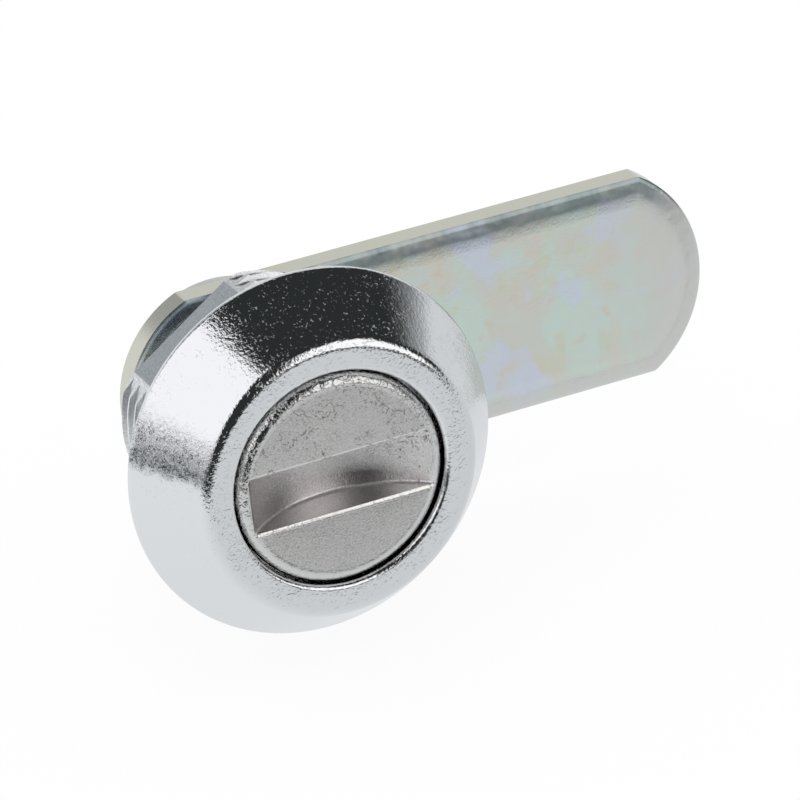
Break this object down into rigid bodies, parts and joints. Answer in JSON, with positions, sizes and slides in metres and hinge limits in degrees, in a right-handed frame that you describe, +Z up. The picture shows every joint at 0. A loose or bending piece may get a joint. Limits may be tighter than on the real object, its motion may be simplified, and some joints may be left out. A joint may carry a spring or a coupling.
{
  "type": "coin-slot cam lock",
  "caption": "Quarter-turn cam lock: a coin turns the slotted core in a chromed flanged barrel, and the long flat cam on its back end swings behind a panel or frame.",
  "frame": {"origin": "on the lock's axis, in the plane of the flange's back face", "axes": "+Y along the axis into the cabinet, so the front faces -Y; +X along the cam as the picture shows it; +Z up"},
  "size_m": [0.0522, 0.0282, 0.028],
  "materials": {
    "chrome_plate": "bright chrome plate over a die casting, finely pitted",
    "satin_casting": "satin plated die casting, warm grey, pitted",
    "rubber": "smooth black rubber",
    "passivated_zinc": "zinc plate with a cloudy iridescent passivation",
    "zinc_plated_steel": "bright zinc plate"
  },
  "bodies": {
    "lock_body": {"housing": "chrome_plate"},
    "turning_core": {"core": "satin_casting", "o_ring": "rubber", "stop_washer": "zinc_plated_steel", "cam": "passivated_zinc", "washer": "zinc_plated_steel", "spring_washer": "zinc_plated_steel", "cam_screw": "zinc_plated_steel"}
  },
  "joints": [
    {"name": "quarter_turn", "type": "hinge", "parent": "lock_body", "child": "turning_core", "pos_m": [0, 0, 0], "axis": [0, -1, 0], "range_deg": [-56.5, 33.5]}
  ]
}
